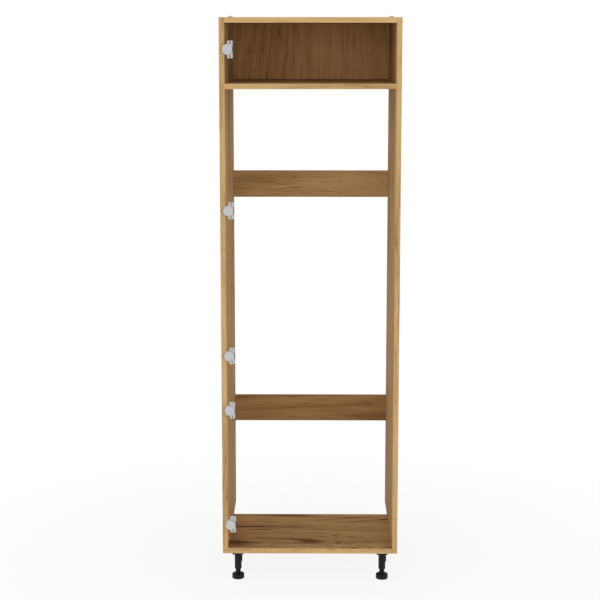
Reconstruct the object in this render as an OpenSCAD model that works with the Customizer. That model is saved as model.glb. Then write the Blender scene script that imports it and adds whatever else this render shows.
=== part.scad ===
// Tall open housing for a built-in fridge: oak-faced board carcass on four
// adjustable legs, open behind the fridge space, with five concealed door
// hinges on the left side. Millimetres. X is the width (hinges at -X), the
// open front faces -Y, Z = 0 is the plane on which the four feet stand.
// Each hinge is a real linkage: the cup turns on two links round the arm.

/* [Carcass] */
// Outer width over both sides
carcass_w = 600; // [450:10:900]
// Height from the underside of the bottom panel to the top
carcass_h = 1820; // [1700:10:2200]
// Depth of the two sides, with their front edging
side_depth = 570; // [520:10:600]
// Thickness of every board
board_t = 18; // [16:1:18]
// Depth of the bottom panel, with its edging; behind it air can rise
floor_depth = 400; // [360:10:500]
// Upper face of the fixed shelf below the top of the carcass
shelf_drop = 215; // [180:5:400]
// Thickness of the back panel of the top compartment
back_t = 3; // [3:0.5:5]
// Width of the rebate that holds the back panel in each side
rebate_w = 9; // [7:0.5:10]
// Thickness of the wood edging on the front edges
edging_t = 1; // [0.8:0.1:2]

/* [Rear rails] */
// Height of each rail
rail_h = 96; // [80:1:120]
// Middle of the upper rail above the underside of the carcass
rail_upper_at = 1225; // [1100:5:1300]
// Middle of the lower rail above the underside of the carcass
rail_lower_at = 384; // [300:1:600]

/* [Legs] */
// Height of the underside of the carcass above the floor
leg_h = 105; // [100:1:130]
// Leg axis from the outer face of the side and from the front
leg_inset = 50; // [45:1:80]
// Travel of each levelling foot
foot_travel = 13; // [8:1:15]

/* [Hinges] */
// Height of the split between the two doors above the carcass underside
door_split = 600; // [500:5:700]
// Hinge axis height from the lower and from the upper end of the carcass
hinge_end = 104; // [90:1:130]
// Hinge heights above and below the split between the doors
hinge_split = 94; // [85:1:120]
// Height of the hinge in the middle of the upper door
hinge_mid = 1186; // [1000:1:1250]
// Cup axis from the outer face of the side
cup_edge = 27.5; // [27:0.5:28.5]

/* [Hidden] */

// Clearances: radial round screws and dowels, in hinge pivots, round the
// foot stem in its tube, and beside the back panel in its rebates
hole_gap = 0.1;
pin_gap = 0.05;
stem_gap = 0.05;
panel_gap = 0.5;

// Hinge cup: standard bore radius, depth in the door, wall, gap between
// the door and the front edges
cup_r = 17.5;
cup_depth = 11.5;
cup_wall = 1.2;
cup_floor = 1;
door_gap = 1.5;

// Overall frame: the cups stand in front of the carcass front
hinge_front = door_gap + cup_depth;
front_y = -(side_depth - hinge_front) / 2;
rear_y = front_y + side_depth;
half_w = carcass_w / 2;
inner_x = half_w - board_t;
side_mid_x = half_w - board_t / 2;

// Heights of the boards
base_z = leg_h;
side_z = base_z + board_t;
top_z = base_z + carcass_h;
top_mid_z = top_z - board_t / 2;
shelf_top_z = top_z - shelf_drop;
shelf_z = shelf_top_z - board_t;
shelf_mid_z = shelf_top_z - board_t / 2;
rail_upper_z = base_z + rail_upper_at;
rail_lower_z = base_z + rail_lower_at;
rail_mid_y = rear_y - board_t / 2;

// Depth of the boards behind their edging
board_y = front_y + edging_t;
joint_rear_y = rear_y - back_t;
floor_rear_y = front_y + floor_depth;

// Carcass screws with a hexagon socket, and wood dowels
screw_r = 3.5;
screw_l = 50;
screw_head_r = 5;
screw_inset = 50;
dowel_r = 4;
dowel_l = 30;
dowel_in_side = 11;
dowel_inset = 82;
rail_fix = 20;

// Joints of a side with the boards between the sides, as [y, z]
screw_spots = [[board_y + screw_inset, top_mid_z],
    [joint_rear_y - screw_inset, top_mid_z],
    [board_y + screw_inset, shelf_mid_z],
    [joint_rear_y - screw_inset, shelf_mid_z],
    [rail_mid_y, rail_upper_z + rail_fix],
    [rail_mid_y, rail_lower_z + rail_fix]];
dowel_spots = [[board_y + dowel_inset, top_mid_z],
    [joint_rear_y - dowel_inset, top_mid_z],
    [board_y + dowel_inset, shelf_mid_z],
    [joint_rear_y - dowel_inset, shelf_mid_z],
    [rail_mid_y, rail_upper_z - rail_fix],
    [rail_mid_y, rail_lower_z - rail_fix]];

// Joints of the sides with the bottom panel, as y
floor_screw_ys = [board_y + screw_inset, floor_rear_y - screw_inset];
floor_dowel_ys = [board_y + dowel_inset, floor_rear_y - dowel_inset];

// Nails round the back panel, as [x, z]
nail_r = 0.7;
nail_l = 20;
nail_head_r = 1.75;
nail_head_t = 0.6;
nail_side_x = inner_x + rebate_w / 2;
nail_low_z = shelf_top_z + 35;
nail_high_z = top_z - board_t - 35;
nail_mid_z = (nail_low_z + nail_high_z) / 2;
nail_step = (inner_x - 40) / 3;
nail_side_zs = [nail_low_z, nail_mid_z, nail_high_z];
nail_board_xs = [-3 * nail_step, -nail_step, nail_step, 3 * nail_step];

// Wall brackets on the top edges of the sides
bracket_w = 16;
bracket_t = 2;
bracket_l = 25;
bracket_h = 10;
bracket_hole_r = 2.25;
bracket_hole_z = 5.5;
bracket_screw_y = rear_y - 15;
bracket_screw_r = 1.75;
bracket_screw_l = 25;
bracket_head_r = 3.4;

// Legs: socket screwed under the bottom panel, tube plugged into it,
// levelling foot in the tube. Heights run down from the carcass.
socket_half = 19;
socket_corner = 4;
socket_h = 15;
socket_plate = 3;
spigot_r = 10.9;
spigot_l = 8;
tube_r = 12;
rib_high = 23;
rib_low = 44;
rib_w = 6;
rib_out = 2.6;
stem_r = 9.1;
stem_in = 18;
disc_r = 21;
disc_h = 18;
disc_round = 3;
groove_r = 2.5;
groove_depth = 1.2;
foot_spare = 4;
tube_l = leg_h - disc_h - foot_travel - foot_spare;
leg_x = half_w - leg_inset;
leg_front_y = front_y + leg_inset;
leg_rear_y = floor_rear_y - leg_inset;
socket_screw_r = 2.1;
socket_screw_l = 15;
socket_head_r = 4;
socket_head_h = 2.5;

// Hinge heights, the lowest first
hinge_zs = [base_z + hinge_end,
    base_z + door_split - hinge_split,
    base_z + door_split + hinge_split,
    base_z + hinge_mid,
    top_z - hinge_end];

// Hinge geometry, as [u, v]: u from the inner face of the left side into
// the cabinet, v from the front plane to the rear. A hinge is drawn for a
// cup axis at u = 9.5; plate_pack is what other sizes add under the arm.
cup_u = 9.5;
plate_pack = cup_edge - board_t - cup_u;
ARM_OUT = [20.9, 5.6];
ARM_IN = [19.5, -1.6];
CUP_OUT = [-2.4, -3.4];
CUP_IN = [-1.7, -8.5];
SLOT_TO = [17.9, -3.4];
pivot_r = 1.3;
slot_r = 1.55;
eye_r = 2.6;
bar_w = 2;

// Layers of the hinge from its middle plane outwards
inner_z = 4.8;
cheek_z0 = 5.2;
cheek_z1 = 6.6;
outer_z0 = 6.9;
outer_z1 = 8.2;
notch_z = 8.5;
ear_z0 = 8.6;
ear_z1 = 10;

// Cup flange and its two screw holes
rim_r = 18.2;
rim_t = 0.8;
flange_t = 1.2;
flange_z = 29.5;
flange_u = 28.5;
flange_corner = 1.5;
flange_hole_u = 19;
flange_hole_z = 22.5;
flange_hole_r = 2.8;
notch_v = -6.3;

// Mounting plate, arm and their screws
plate_v0 = 28;
plate_v1 = 78;
plate_z = 8;
plate_t = 2 + plate_pack;
block_z = 5;
block_u = 16.3 + plate_pack;
well_r = 4.2;
well_u = 3.5 + plate_pack;
plate_screw_v = [37, 69];
plate_screw_r = 1.9;
plate_screw_l = 13;
plate_head_r = 3.4;
arm_screw_v = [47, 59];
arm_screw_r = 2.4;
arm_screw_l = 11;
arm_head_r = 3.8;
arm_head_h = 1.8;
web_u = 18;
web_t = 1.4;

oak = [0.68, 0.52, 0.37];
oak_dark = [0.4, 0.28, 0.18];
beech = [0.8, 0.66, 0.46];
steel = [0.77, 0.77, 0.78];
zinc = [0.7, 0.71, 0.73];
black = [0.1, 0.1, 0.1];
brown = [0.55, 0.42, 0.3];

// Screw with a flat countersunk head: head face at z = 0, tip at +z
module countersunk(r, l, head_r) {
    rotate_extrude($fn = 32)
        polygon([[0, 0], [head_r, 0], [head_r, 0.4],
            [r, 0.4 + head_r - r], [r, l - 1.2 * r], [0, l]]);
}

// Matching hole, its mouth open above the face
module countersunk_hole(r, l, head_r) {
    rotate_extrude($fn = 32)
        polygon([[0, -1], [head_r + hole_gap, -1],
            [head_r + hole_gap, 0.5], [r + hole_gap, 0.5 + head_r - r],
            [r + hole_gap, l + 0.5], [0, l + 0.5]]);
}

// Four-armed driver recess, cut from z = 0 into the head
module cross_recess(size, depth) {
    for (a = [0, 90])
        rotate([0, 0, a])
            translate([-size / 2, -0.35, -1])
                cube([size, 0.7, depth + 1]);
}

module carcass_screw() {
    difference() {
        countersunk(screw_r, screw_l, screw_head_r);
        translate([0, 0, -1])
            cylinder(r = 2.3, h = 4, $fn = 6);
    }
}

module dowel() {
    rotate_extrude($fn = 32)
        polygon([[0, 0], [dowel_r - 1, 0], [dowel_r, 1],
            [dowel_r, dowel_l - 1], [dowel_r - 1, dowel_l],
            [0, dowel_l]]);
}

// Places a child, drawn along +z, on the outer face of a side (s = -1
// left, 1 right) so that it points inwards
module into_side(s, spot) {
    translate([s * half_w, spot[0], spot[1]])
        rotate([0, -90 * s, 0])
            children();
}

// Dowel of one side joint, from inside the side into the board
module side_dowel(s, spot) {
    translate([s * (inner_x + dowel_in_side), spot[0], spot[1]])
        rotate([0, -90 * s, 0])
            dowel();
}

// Holes of one side joint for screw and dowel
module joint_screw_hole(s, spot) {
    into_side(s, spot)
        countersunk_hole(screw_r, screw_l, screw_head_r);
}

module joint_dowel_hole(s, spot) {
    translate([s * (inner_x + dowel_in_side + 1), spot[0], spot[1]])
        rotate([0, -90 * s, 0])
            cylinder(r = dowel_r + hole_gap, h = dowel_l + 2, $fn = 32);
}

// Holes between a side and the bottom panel, drawn for both parts
module floor_holes(s) {
    for (y = floor_screw_ys)
        translate([s * side_mid_x, y, base_z])
            countersunk_hole(screw_r, screw_l, screw_head_r);
    for (y = floor_dowel_ys)
        translate([s * side_mid_x, y, side_z - dowel_in_side - 1])
            cylinder(r = dowel_r + hole_gap, h = dowel_l + 2, $fn = 32);
}

// Nail pointing to -y from the rear face
module nail(r, l, head_r, head_t) {
    rotate([90, 0, 0]) {
        cylinder(r = head_r, h = head_t, $fn = 20);
        cylinder(r = r, h = l, $fn = 16);
    }
}

module nail_holes() {
    for (s = [-1, 1])
        for (z = nail_side_zs)
            translate([s * nail_side_x, rear_y + 0.1, z])
                nail(nail_r + hole_gap, nail_l + 1,
                    nail_head_r + hole_gap, nail_head_t + 0.2);
    for (x = nail_board_xs)
        for (z = [shelf_mid_z, top_mid_z])
            translate([x, rear_y + 0.1, z])
                nail(nail_r + hole_gap, nail_l + 1,
                    nail_head_r + hole_gap, nail_head_t + 0.2);
}

module side(s) {
    difference() {
        translate([s > 0 ? inner_x : -half_w, board_y, side_z])
            cube([board_t, rear_y - board_y, top_z - side_z]);
        translate([s > 0 ? inner_x - 1 : -inner_x - rebate_w,
            joint_rear_y, shelf_z - panel_gap])
            cube([rebate_w + 1, back_t + 1, top_z - shelf_z + 2]);
        for (spot = screw_spots)
            joint_screw_hole(s, spot);
        for (spot = dowel_spots)
            joint_dowel_hole(s, spot);
        floor_holes(s);
        nail_holes();
        translate([s * side_mid_x, bracket_screw_y, top_z + 1])
            mirror([0, 0, 1])
                cylinder(r = bracket_screw_r + hole_gap,
                    h = bracket_screw_l + 1, $fn = 24);
    }
}

module side_left() {
    color(oak)
        difference() {
            side(-1);
            for (z = hinge_zs)
                for (v = plate_screw_v)
                    translate([-inner_x + 1, front_y + v, z])
                        rotate([0, -90, 0])
                            cylinder(r = plate_screw_r + hole_gap,
                                h = plate_screw_l - 1.5, $fn = 24);
        }
}

module side_right() {
    color(oak)
        side(1);
}

// Board between the sides; its joints are those listed by number
module cross_board(y0, y1, z0, h, joints) {
    difference() {
        translate([-inner_x, y0, z0])
            cube([2 * inner_x, y1 - y0, h]);
        for (s = [-1, 1])
            for (i = joints) {
                joint_screw_hole(s, screw_spots[i]);
                joint_dowel_hole(s, dowel_spots[i]);
            }
        nail_holes();
    }
}

module top_panel() {
    color(oak)
        cross_board(board_y, joint_rear_y, top_z - board_t, board_t,
            [0, 1]);
}

module fixed_shelf() {
    color(oak)
        cross_board(board_y, joint_rear_y, shelf_z, board_t, [2, 3]);
}

module rail_upper() {
    color(oak)
        cross_board(rear_y - board_t, rear_y, rail_upper_z - rail_h / 2,
            rail_h, [4]);
}

module rail_lower() {
    color(oak)
        cross_board(rear_y - board_t, rear_y, rail_lower_z - rail_h / 2,
            rail_h, [5]);
}

module bottom_panel() {
    color(oak)
        difference() {
            translate([-half_w, board_y, base_z])
                cube([carcass_w, floor_rear_y - board_y, board_t]);
            floor_holes(-1);
            floor_holes(1);
            at_legs()
                translate([0, 0, base_z - 1])
                    cylinder(r = socket_screw_r + hole_gap,
                        h = socket_screw_l - socket_plate + 2, $fn = 24);
        }
}

module back_panel() {
    panel_x = inner_x + rebate_w - panel_gap;
    color(oak_dark)
        difference() {
            translate([-panel_x, joint_rear_y, shelf_z])
                cube([2 * panel_x, back_t, top_z - shelf_z]);
            nail_holes();
        }
}

// Edging strip of length l along +z, its rounded edges to the front
module edging_z(l) {
    r = edging_t / 2;
    linear_extrude(height = l) {
        translate([0, r])
            square([board_t, edging_t - r]);
        translate([r, 0])
            square([board_t - 2 * r, edging_t]);
        translate([r, r])
            circle(r = r, $fn = 16);
        translate([board_t - r, r])
            circle(r = r, $fn = 16);
    }
}

// The same strip along +x, its width upwards
module edging_x(l) {
    mirror([0, 0, 1])
        rotate([0, 90, 0])
            edging_z(l);
}

module edging_side_left() {
    color(oak)
        translate([-half_w, front_y, side_z])
            edging_z(top_z - side_z);
}

module edging_side_right() {
    color(oak)
        translate([inner_x, front_y, side_z])
            edging_z(top_z - side_z);
}

module edging_top() {
    color(oak)
        translate([-inner_x, front_y, top_z - board_t])
            edging_x(2 * inner_x);
}

module edging_shelf() {
    color(oak)
        translate([-inner_x, front_y, shelf_z])
            edging_x(2 * inner_x);
}

module edging_bottom() {
    color(oak)
        translate([-half_w, front_y, base_z])
            edging_x(carcass_w);
}

module carcass_screws_left() {
    color(zinc)
        for (spot = screw_spots)
            into_side(-1, spot)
                carcass_screw();
}

module carcass_screws_right() {
    color(zinc)
        for (spot = screw_spots)
            into_side(1, spot)
                carcass_screw();
}

module carcass_screws_bottom() {
    color(zinc)
        for (s = [-1, 1])
            for (y = floor_screw_ys)
                translate([s * side_mid_x, y, base_z])
                    carcass_screw();
}

module dowels_left() {
    color(beech)
        for (spot = dowel_spots)
            side_dowel(-1, spot);
}

module dowels_right() {
    color(beech)
        for (spot = dowel_spots)
            side_dowel(1, spot);
}

module dowels_bottom() {
    color(beech)
        for (s = [-1, 1])
            for (y = floor_dowel_ys)
                translate([s * side_mid_x, y, side_z - dowel_in_side])
                    dowel();
}

module back_nails() {
    color(steel) {
        for (s = [-1, 1])
            for (z = nail_side_zs)
                translate([s * nail_side_x, rear_y, z])
                    nail(nail_r, nail_l, nail_head_r, nail_head_t);
        for (x = nail_board_xs)
            for (z = [shelf_mid_z, top_mid_z])
                translate([x, rear_y, z])
                    nail(nail_r, nail_l, nail_head_r, nail_head_t);
    }
}

// Angle bracket, foot on the top edge of a side, holed tab at the rear
module wall_bracket(s) {
    bend = bracket_t + 1;
    corner = 3;
    color(brown)
        translate([s * side_mid_x, rear_y, top_z])
            difference() {
                union() {
                    translate([-bracket_w / 2, -bracket_l, 0])
                        cube([bracket_w, bracket_l - bend, bracket_t]);
                    translate([-bracket_w / 2, -bracket_t, bend])
                        cube([bracket_w, bracket_t,
                            bracket_h - bend - corner]);
                    translate([-bracket_w / 2 + corner, -bracket_t, bend])
                        cube([bracket_w - 2 * corner, bracket_t,
                            bracket_h - bend]);
                    for (x = [-1, 1])
                        translate([x * (bracket_w / 2 - corner), 0,
                            bracket_h - corner])
                            rotate([90, 0, 0])
                                cylinder(r = corner, h = bracket_t,
                                    $fn = 32);
                    // Round bend between foot and tab
                    intersection() {
                        translate([-bracket_w / 2, -bend, bend])
                            rotate([0, 90, 0])
                                difference() {
                                    cylinder(r = bend, h = bracket_w,
                                        $fn = 32);
                                    translate([0, 0, -1])
                                        cylinder(r = bend - bracket_t,
                                            h = bracket_w + 2,
                                            $fn = 32);
                                }
                        translate([-bracket_w / 2, -bend, 0])
                            cube([bracket_w, bend, bend]);
                    }
                }
                translate([0, 1, bracket_hole_z])
                    rotate([90, 0, 0])
                        cylinder(r = bracket_hole_r, h = bracket_t + 2,
                            $fn = 32);
                translate([0, bracket_screw_y - rear_y, bracket_t])
                    mirror([0, 0, 1])
                        countersunk_hole(bracket_screw_r, bracket_screw_l,
                            bracket_head_r);
            }
}

module wall_bracket_left() {
    wall_bracket(-1);
}

module wall_bracket_right() {
    wall_bracket(1);
}

module bracket_screws() {
    color(zinc)
        for (s = [-1, 1])
            translate([s * side_mid_x, bracket_screw_y,
                top_z + bracket_t])
                mirror([0, 0, 1])
                    difference() {
                        countersunk(bracket_screw_r, bracket_screw_l,
                            bracket_head_r);
                        cross_recess(3.6, 1.2);
                    }
}

// Places a child at each of the four leg axes
module at_legs() {
    for (x = [-leg_x, leg_x])
        for (y = [leg_front_y, leg_rear_y])
            translate([x, y, 0])
                children();
}

// Square collar with rounded corners round the bore for the tube
module leg_socket() {
    low = base_z - socket_h;
    corner = socket_half - socket_corner;
    difference() {
        union() {
            for (turn = [0, 90])
                rotate([0, 0, turn])
                    translate([-socket_half, -corner, low])
                        cube([2 * socket_half, 2 * corner, socket_h]);
            for (x = [-corner, corner])
                for (y = [-corner, corner])
                    translate([x, y, low])
                        cylinder(r = socket_corner, h = socket_h,
                            $fn = 32);
        }
        translate([0, 0, low - 1])
            cylinder(r = spigot_r + hole_gap,
                h = socket_h - socket_plate + 1, $fn = 64);
        translate([0, 0, low])
            cylinder(r = socket_screw_r + hole_gap, h = socket_h + 1,
                $fn = 32);
    }
}

module leg_sockets() {
    color(black)
        at_legs()
            leg_socket();
}

// Tube with a clip rib for the plinth board
module leg_tube(x, y) {
    shoulder = base_z - socket_h;
    tube_z = base_z - tube_l;
    bore = stem_r + stem_gap;
    color(black)
        translate([x, y, 0]) {
            rotate_extrude($fn = 64)
                polygon([[bore, tube_z],
                    [tube_r - 1, tube_z],
                    [tube_r, tube_z + 1],
                    [tube_r, shoulder],
                    [spigot_r, shoulder],
                    [spigot_r, shoulder + spigot_l - 1],
                    [spigot_r - 1, shoulder + spigot_l],
                    [bore, shoulder + spigot_l]]);
            translate([tube_r - 1, -rib_w / 2, base_z - rib_low])
                cube([rib_out + 1, rib_w, rib_low - rib_high]);
        }
}

module leg_tube_front_left() {
    leg_tube(-leg_x, leg_front_y);
}

module leg_tube_front_right() {
    leg_tube(leg_x, leg_front_y);
}

module leg_tube_rear_left() {
    leg_tube(-leg_x, leg_rear_y);
}

module leg_tube_rear_right() {
    leg_tube(leg_x, leg_rear_y);
}

// Levelling foot: stem up the tube, grooved disc on the floor
module leg_foot(x, y) {
    stem_z = base_z - tube_l + stem_in;
    color(black)
        translate([x, y, 0])
            difference() {
                union() {
                    rotate_extrude($fn = 64) {
                        square([disc_r - disc_round, disc_h]);
                        translate([0, disc_round])
                            square([disc_r, disc_h - 2 * disc_round]);
                        for (z = [disc_round, disc_h - disc_round])
                            translate([disc_r - disc_round, z])
                                circle(r = disc_round, $fn = 32);
                    }
                    translate([0, 0, disc_h - 1])
                        cylinder(r = stem_r, h = stem_z - disc_h,
                            $fn = 64);
                    translate([0, 0, stem_z - 1])
                        cylinder(r1 = stem_r, r2 = stem_r - 1, h = 1,
                            $fn = 64);
                }
                for (a = [0 : 45 : 315])
                    rotate([0, 0, a + 22.5])
                        translate([disc_r + groove_r - groove_depth, 0, -1])
                            cylinder(r = groove_r, h = disc_h + 2,
                                $fn = 24);
            }
}

module leg_foot_front_left() {
    leg_foot(-leg_x, leg_front_y);
}

module leg_foot_front_right() {
    leg_foot(leg_x, leg_front_y);
}

module leg_foot_rear_left() {
    leg_foot(-leg_x, leg_rear_y);
}

module leg_foot_rear_right() {
    leg_foot(leg_x, leg_rear_y);
}

// Pan-head screws up through the socket plates into the bottom panel
module socket_screws() {
    under = base_z - socket_plate;
    color(zinc)
        at_legs()
            difference() {
                rotate_extrude($fn = 32)
                    polygon([[0, under - socket_head_h],
                        [socket_head_r - 1, under - socket_head_h],
                        [socket_head_r, under - socket_head_h + 1],
                        [socket_head_r, under],
                        [socket_screw_r, under],
                        [socket_screw_r, under + socket_screw_l - 2.5],
                        [0, under + socket_screw_l]]);
                translate([0, 0, under - socket_head_h])
                    cross_recess(4, 1.3);
            }
}

// Places a child, drawn as [u, v, z] of a hinge, at hinge number n
module at_hinge(n) {
    translate([-inner_x, front_y, hinge_zs[n - 1]])
        children();
}

// Cylinder across the hinge: from z0 to z1 on both sides of its middle
module twin_pin(p, r, z0, z1) {
    for (s = [0, 1])
        mirror([0, 0, s])
            translate([p[0], p[1], z0])
                cylinder(r = r, h = z1 - z0, $fn = 32);
}

// Flat shape from z0 to z1 on both sides of the hinge's middle plane
module twin_slab(z0, z1) {
    for (s = [0, 1])
        mirror([0, 0, s])
            translate([0, 0, z0])
                linear_extrude(height = z1 - z0)
                    children();
}

// Strip between two points, as wide as 2 * r
module strip(a, b, r) {
    d = b - a;
    translate(a)
        rotate(atan2(d[1], d[0]))
            translate([0, -r])
                square([norm(d), 2 * r]);
}

module hinge_plate() {
    difference() {
        union() {
            translate([0, plate_v0 + plate_z, -plate_z])
                cube([plate_t, plate_v1 - plate_v0 - 2 * plate_z,
                    2 * plate_z]);
            for (v = [plate_v0 + plate_z, plate_v1 - plate_z])
                translate([0, v, 0])
                    rotate([0, 90, 0])
                        cylinder(r = plate_z, h = plate_t, $fn = 48);
            translate([0, plate_v0 + 2, -block_z])
                cube([block_u, plate_v1 - plate_v0 - 6, 2 * block_z]);
        }
        for (v = plate_screw_v)
            translate([well_u, v, 0])
                rotate([0, -90, 0]) {
                    countersunk_hole(plate_screw_r, plate_screw_l,
                        plate_head_r);
                    translate([0, 0, -block_u])
                        cylinder(r = well_r, h = block_u, $fn = 32);
                }
        for (v = arm_screw_v)
            translate([block_u - arm_screw_l, v, 0])
                rotate([0, 90, 0])
                    cylinder(r = arm_screw_r + hole_gap, h = arm_screw_l + 1,
                        $fn = 24);
    }
}

// Side view of the arm, as [u, v]
module arm_cheek() {
    difference() {
        union() {
            polygon([[2.2, 26], [2.2, 76], [15, 78], [web_u, 74],
                [web_u, 30], [ARM_OUT[0] + 3.2, 8],
                [ARM_OUT[0] + 3.1, ARM_OUT[1] - 0.3],
                [ARM_OUT[0] - 3.1, ARM_OUT[1] - 0.3]]);
            translate(ARM_OUT)
                circle(r = 3.2, $fn = 48);
            for (p = [ARM_IN, SLOT_TO])
                translate(p)
                    circle(r = 2.9, $fn = 48);
            strip(ARM_OUT, ARM_IN, 2.8);
            strip(ARM_IN, SLOT_TO, 2.8);
        }
        for (p = [ARM_IN, SLOT_TO])
            translate(p)
                circle(r = slot_r, $fn = 32);
        strip(ARM_IN, SLOT_TO, slot_r - 0.05);
    }
}

module hinge_arm() {
    nose = ARM_OUT[0] + 3.2;
    translate([plate_pack, 0, 0])
        difference() {
            union() {
                twin_slab(cheek_z0, cheek_z1)
                    arm_cheek();
                translate([0, 0, -cheek_z1])
                    linear_extrude(height = 2 * cheek_z1)
                        polygon([[15, 78], [web_u, 74], [web_u, 30],
                            [nose, 8], [nose, 5.6],
                            [nose - web_t, 5.6], [nose - web_t, 7.8],
                            [web_u - web_t, 29.8],
                            [web_u - web_t, 73.5], [14, 77]]);
                translate([ARM_OUT[0], ARM_OUT[1], -outer_z1 - 0.1])
                    cylinder(r = pivot_r, h = 2 * outer_z1 + 0.2,
                        $fn = 32);
                twin_pin(ARM_OUT, 2, outer_z1 + 0.1, outer_z1 + 0.7);
            }
            for (v = arm_screw_v)
                translate([web_u - web_t - 1, v, 0])
                    rotate([0, 90, 0])
                        cylinder(r = arm_screw_r + hole_gap,
                            h = web_t + 2, $fn = 24);
        }
}

// Outer link: two bars joined by a web on their rear side. Drawn with the
// cup pivot at the origin and the arm pivot on +x.
module hinge_outer_link() {
    d = ARM_OUT - CUP_OUT;
    l = norm(d);
    translate([CUP_OUT[0] + plate_pack, CUP_OUT[1], 0])
        rotate([0, 0, atan2(d[1], d[0])])
            difference() {
                union() {
                    twin_slab(outer_z0, outer_z1) {
                        circle(r = eye_r, $fn = 48);
                        translate([l, 0])
                            circle(r = eye_r, $fn = 48);
                        polygon([[0, -bar_w], [l, -bar_w], [l, bar_w],
                            [18, 3.7], [10.5, 3.7], [8.5, 0.8],
                            [2, 0.8], [0, bar_w]]);
                    }
                    translate([11, 2.5, -outer_z1])
                        cube([6, 1.2, 2 * outer_z1]);
                }
                for (x = [0, l])
                    translate([x, 0, -outer_z1 - 1])
                        cylinder(r = pivot_r + pin_gap,
                            h = 2 * outer_z1 + 2, $fn = 32);
            }
}

// Inner link: one thick bar, bored for the cup pin, with the pin that
// runs in the slots of the arm at its other end
module hinge_inner_link() {
    d = ARM_IN - CUP_IN;
    l = norm(d);
    translate([CUP_IN[0] + plate_pack, CUP_IN[1], 0])
        rotate([0, 0, atan2(d[1], d[0])])
            difference() {
                union() {
                    translate([0, 0, -inner_z])
                        linear_extrude(height = 2 * inner_z) {
                            circle(r = eye_r, $fn = 48);
                            translate([l, 0])
                                circle(r = eye_r, $fn = 48);
                            polygon([[0, -eye_r], [9, -eye_r],
                                [l, -bar_w], [l, bar_w], [13.5, 1.4],
                                [10, -0.4], [2, -0.4]]);
                        }
                    translate([l, 0, -cheek_z1 + 0.1])
                        cylinder(r = pivot_r, h = 2 * cheek_z1 - 0.2,
                            $fn = 32);
                }
                translate([0, 0, -inner_z - 1])
                    cylinder(r = pivot_r + pin_gap, h = 2 * inner_z + 2,
                        $fn = 32);
            }
}

// Cup with flange, the ears for the outer link and the inner link pin
module hinge_cup() {
    deep = cup_depth - cup_floor;
    inner_r = cup_r - cup_wall;
    translate([plate_pack, 0, 0]) {
        difference() {
            union() {
                translate([cup_u, -door_gap, 0])
                    rotate([90, 0, 0])
                        rotate_extrude($fn = 96)
                            polygon([[0, 0], [cup_r, 0],
                                [cup_r, cup_depth - 1.2],
                                [cup_r - 1, cup_depth],
                                [0, cup_depth]]);
                translate([cup_u, -door_gap + rim_t, 0])
                    rotate([90, 0, 0])
                        cylinder(r = rim_r, h = rim_t, $fn = 96);
                translate([cup_u, -door_gap, -flange_z + flange_corner])
                    cube([flange_u - cup_u, flange_t,
                        2 * (flange_z - flange_corner)]);
                translate([cup_u + flange_corner, -door_gap, -flange_z])
                    cube([flange_u - cup_u - 2 * flange_corner, flange_t,
                        2 * flange_z]);
                for (s = [-1, 1])
                    for (u = [cup_u + flange_corner,
                        flange_u - flange_corner])
                        translate([u, -door_gap + flange_t,
                            s * (flange_z - flange_corner)])
                            rotate([90, 0, 0])
                                cylinder(r = flange_corner,
                                    h = flange_t, $fn = 32);
            }
            translate([cup_u, 1, 0])
                rotate([90, 0, 0])
                    cylinder(r = inner_r, h = 1 + door_gap + deep,
                        $fn = 96);
            translate([cup_u - rim_r - 1, notch_v, -notch_z])
                cube([rim_r - 5, 8, 2 * notch_z]);
            for (s = [-1, 1])
                translate([flange_hole_u, 1, s * flange_hole_z])
                    rotate([90, 0, 0])
                        cylinder(r = flange_hole_r, h = 5, $fn = 32);
        }
        for (s = [0, 1])
            mirror([0, 0, s])
                translate([-4.8, -door_gap - deep - 0.3, ear_z0])
                    cube([7, deep, ear_z1 - ear_z0]);
        twin_pin(CUP_OUT, pivot_r, cheek_z1 + 0.15, ear_z0 + 0.2);
        translate([CUP_IN[0], CUP_IN[1], -ear_z0 - 0.2])
            cylinder(r = pivot_r, h = 2 * ear_z0 + 0.4, $fn = 32);
    }
}

module hinge_plate_1() {
    color(steel)
        at_hinge(1)
            hinge_plate();
}

module hinge_plate_2() {
    color(steel)
        at_hinge(2)
            hinge_plate();
}

module hinge_plate_3() {
    color(steel)
        at_hinge(3)
            hinge_plate();
}

module hinge_plate_4() {
    color(steel)
        at_hinge(4)
            hinge_plate();
}

module hinge_plate_5() {
    color(steel)
        at_hinge(5)
            hinge_plate();
}

module hinge_arm_1() {
    color(steel)
        at_hinge(1)
            hinge_arm();
}

module hinge_arm_2() {
    color(steel)
        at_hinge(2)
            hinge_arm();
}

module hinge_arm_3() {
    color(steel)
        at_hinge(3)
            hinge_arm();
}

module hinge_arm_4() {
    color(steel)
        at_hinge(4)
            hinge_arm();
}

module hinge_arm_5() {
    color(steel)
        at_hinge(5)
            hinge_arm();
}

module hinge_outer_link_1() {
    color(zinc)
        at_hinge(1)
            hinge_outer_link();
}

module hinge_outer_link_2() {
    color(zinc)
        at_hinge(2)
            hinge_outer_link();
}

module hinge_outer_link_3() {
    color(zinc)
        at_hinge(3)
            hinge_outer_link();
}

module hinge_outer_link_4() {
    color(zinc)
        at_hinge(4)
            hinge_outer_link();
}

module hinge_outer_link_5() {
    color(zinc)
        at_hinge(5)
            hinge_outer_link();
}

module hinge_inner_link_1() {
    color(zinc)
        at_hinge(1)
            hinge_inner_link();
}

module hinge_inner_link_2() {
    color(zinc)
        at_hinge(2)
            hinge_inner_link();
}

module hinge_inner_link_3() {
    color(zinc)
        at_hinge(3)
            hinge_inner_link();
}

module hinge_inner_link_4() {
    color(zinc)
        at_hinge(4)
            hinge_inner_link();
}

module hinge_inner_link_5() {
    color(zinc)
        at_hinge(5)
            hinge_inner_link();
}

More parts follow.
